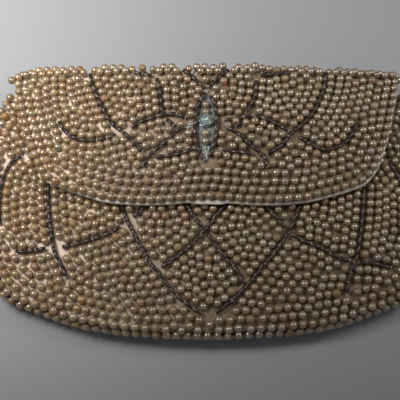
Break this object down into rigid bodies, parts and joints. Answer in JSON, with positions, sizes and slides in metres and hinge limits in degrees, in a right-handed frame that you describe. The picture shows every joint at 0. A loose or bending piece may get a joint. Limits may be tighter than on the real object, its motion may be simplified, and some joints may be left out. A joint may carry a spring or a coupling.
{
  "type": "beaded handbag",
  "caption": "Envelope clutch covered in pearl beads, with a web of dark bugle beads, a clear stone and a satin-bound flap that folds open.",
  "frame": {"origin": "on the surface under the middle of the bag, which lies closed on its back", "axes": "+X to the bag's right as seen from the front, +Y from the bottom seam to the top fold, +Z out of the front"},
  "size_m": [0.2278, 0.1352, 0.0261],
  "materials": {
    "pearl_beads": "lustrous champagne imitation pearl",
    "satin_ground": "satin weave",
    "satin_binding": "cream satin",
    "lining": "ivory satin lining",
    "buckram": "matt stiffened cloth",
    "bugle_beads": "gloss gunmetal glass",
    "snap_metal": "polished nickel plate",
    "cup_metal": "polished silver plate",
    "clear_stone": "faceted clear glass"
  },
  "bodies": {
    "pouch": {"back_bead_panel": "pearl_beads", "back_lining": "lining", "back_satin": "satin_ground", "back_stiffener": "buckram", "front_bead_panel": "pearl_beads", "front_falling_diagonal_foot": "bugle_beads", "front_falling_diagonal_top": "bugle_beads", "front_left_arm": "bugle_beads", "front_left_inner_swag": "bugle_beads", "front_left_outer_swag": "bugle_beads", "front_left_short_swag": "bugle_beads", "front_left_side_curve": "bugle_beads", "front_left_upright": "bugle_beads", "front_lining": "lining", "front_right_arm": "bugle_beads", "front_right_inner_swag": "bugle_beads", "front_right_outer_swag": "bugle_beads", "front_right_short_swag": "bugle_beads", "front_right_side_curve": "bugle_beads", "front_right_upright": "bugle_beads", "front_rising_diagonal": "bugle_beads", "front_satin": "satin_ground", "front_stiffener": "buckram", "mouth_binding": "satin_binding", "slip_pocket": "lining", "snap_socket": "snap_metal"},
    "spine": {"spine_bead_strip": "pearl_beads", "spine_lining": "lining", "spine_satin": "satin_ground", "spine_stiffener": "buckram"},
    "flap": {"flap_bead_panel": "pearl_beads", "flap_binding": "satin_binding", "flap_left_almond_side": "bugle_beads", "flap_left_crown": "bugle_beads", "flap_left_inner_swag": "bugle_beads", "flap_left_leaf": "bugle_beads", "flap_left_leaf_link": "bugle_beads", "flap_left_long_spoke": "bugle_beads", "flap_left_low_arc": "bugle_beads", "flap_left_outer_swag": "bugle_beads", "flap_left_short_spoke": "bugle_beads", "flap_left_top_arc": "bugle_beads", "flap_lining": "lining", "flap_right_almond_side": "bugle_beads", "flap_right_crown": "bugle_beads", "flap_right_inner_swag": "bugle_beads", "flap_right_leaf": "bugle_beads", "flap_right_leaf_link": "bugle_beads", "flap_right_long_spoke": "bugle_beads", "flap_right_low_arc": "bugle_beads", "flap_right_outer_swag": "bugle_beads", "flap_right_short_spoke": "bugle_beads", "flap_right_top_arc": "bugle_beads", "flap_satin": "satin_ground", "flap_stiffener": "buckram", "clear_stone": "clear_stone", "stone_cup": "cup_metal", "snap_stud": "snap_metal"}
  },
  "joints": [
    {"name": "spine_fold", "type": "hinge", "parent": "pouch", "child": "spine", "pos_m": [0, 0.06338, 0.00422], "axis": [-1, 0, 0], "range_deg": [0, 90]},
    {"name": "flap_fold", "type": "hinge", "parent": "spine", "child": "flap", "pos_m": [0, 0.06338, 0.02193], "axis": [-1, 0, 0], "range_deg": [0, 90]}
  ],
  "couplings": [
    {"joint": "flap_fold", "follows": "spine_fold", "ratio": 1}
  ]
}
